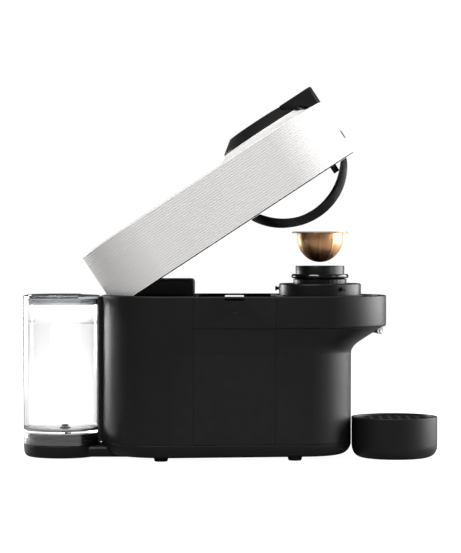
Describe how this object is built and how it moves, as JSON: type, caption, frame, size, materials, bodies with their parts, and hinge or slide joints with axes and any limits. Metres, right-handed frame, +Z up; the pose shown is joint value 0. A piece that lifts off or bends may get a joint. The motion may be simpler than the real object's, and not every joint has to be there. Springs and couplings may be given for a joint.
{
  "type": "pod coffee machine",
  "caption": "Narrow pod coffee machine with a round water tank behind, a hinged brewing head sprung open over a spinning pod holder, and a round cup support in front.",
  "frame": {"origin": "bottom centre of the bounding box, on the surface that the feet stand on", "axes": "+X towards the cup support at the front, +Y to the right of someone facing the front, +Z up"},
  "size_m": [0.426, 0.136, 0.3806],
  "materials": {
    "black_plastic": "fine matte",
    "gloss_black": "glossy",
    "white_plastic": "satin with fine ribs",
    "clear_plastic": "clear",
    "smoked_plastic": "smoked clear",
    "pale_tip": "glossy",
    "pod_metal": "satin copper-coloured",
    "steel": "plain",
    "rubber": "matte",
    "board": "lacquered",
    "valve_red": "satin"
  },
  "bodies": {
    "base": {"rear_housing": "black_plastic", "front_housing": "black_plastic", "base_plate": "black_plastic", "foot_front_left": "rubber", "foot_front_right": "rubber", "foot_rear_left": "rubber", "foot_rear_right": "rubber", "hinge_hump": "black_plastic", "hinge_pin": "steel", "lift_spring_left": "steel", "lift_spring_right": "steel", "seat_ring": "black_plastic", "lock_pin_rear": "black_plastic", "lock_pin_left": "black_plastic", "lock_pin_right": "black_plastic", "centrifuge_motor": "steel", "pump": "steel", "boiler": "steel", "control_board": "board", "water_hose": "rubber", "power_inlet": "black_plastic", "spout": "gloss_black", "spout_tip": "pale_tip", "water_inlet": "rubber"},
    "holder": {"capsule_holder": "black_plastic", "holder_rim": "gloss_black", "motor_shaft": "steel"},
    "container": {"used_capsule_container": "black_plastic"},
    "tank": {"tank_wall": "clear_plastic", "tank_bottom": "black_plastic", "tank_lid": "smoked_plastic"},
    "flap": {"fill_flap": "smoked_plastic"},
    "valve": {"water_valve": "valve_red", "valve_cap": "black_plastic"},
    "cup": {"cup_support": "black_plastic"},
    "grid": {"drip_grid": "gloss_black"},
    "pod": {"pod_shell": "pod_metal", "pod_foil": "pod_metal"},
    "head": {"head_shell": "white_plastic", "head_frame": "black_plastic", "brew_chamber": "black_plastic", "needle_plate": "steel", "gasket": "rubber", "press_spider": "steel", "ejector_hoop": "gloss_black", "badge_plate": "smoked_plastic"},
    "lever": {"lock_dome": "gloss_black", "lock_lever": "black_plastic", "lock_ring": "black_plastic", "light_ring": "clear_plastic", "front_catch": "black_plastic"},
    "button": {"brew_button": "gloss_black"}
  },
  "joints": [
    {"name": "head_hinge", "type": "hinge", "parent": "base", "child": "head", "pos_m": [-0.1014, 0, 0.1847], "axis": [0, 1, 0], "range_deg": [0, 33.25], "stiffness_Nm_per_rad": 1.2, "springref_deg": -68.75},
    {"name": "lever_turn", "type": "hinge", "parent": "head", "child": "lever", "pos_m": [0.03002, 0, 0.33699], "axis": [0.5483, 0, -0.8363], "range_deg": [0, 25]},
    {"name": "button_press", "type": "slide", "parent": "head", "child": "button", "axis": [0.5483, 0, -0.8363], "range_m": [0, 0.0015], "stiffness_N_per_m": 400, "springref_m": -0.0005},
    {"name": "pod_drop", "type": "slide", "parent": "base", "child": "pod", "axis": [0, 0, -1], "range_m": [0, 0.0335]},
    {"name": "holder_spin", "type": "hinge", "parent": "base", "child": "holder", "pos_m": [0.092, 0, 0.17], "axis": [0, 0, 1], "continuous": true},
    {"name": "container_lift", "type": "slide", "parent": "base", "child": "container", "axis": [0, 0, -1], "range_m": [-0.033, 0]},
    {"name": "tank_lift", "type": "slide", "parent": "base", "child": "tank", "axis": [-0.6, 0, 0.8], "range_m": [0, 0.12]},
    {"name": "flap_hinge", "type": "hinge", "parent": "tank", "child": "flap", "pos_m": [-0.1556, 0, 0.168], "axis": [0, 1, 0], "range_deg": [0, 80]},
    {"name": "valve_press", "type": "slide", "parent": "tank", "child": "valve", "axis": [0, 0, 1], "range_m": [0, 0.0015], "stiffness_N_per_m": 200, "springref_m": -0.0005},
    {"name": "cup_slide", "type": "slide", "parent": "base", "child": "cup", "axis": [1, 0, 0], "range_m": [0, 0.08]},
    {"name": "grid_lift", "type": "slide", "parent": "cup", "child": "grid", "axis": [0, 0, 1], "range_m": [0, 0.03]}
  ],
  "couplings": [
    {"joint": "pod_drop", "follows": "head_hinge", "m_per_rad": 0.0572}
  ]
}
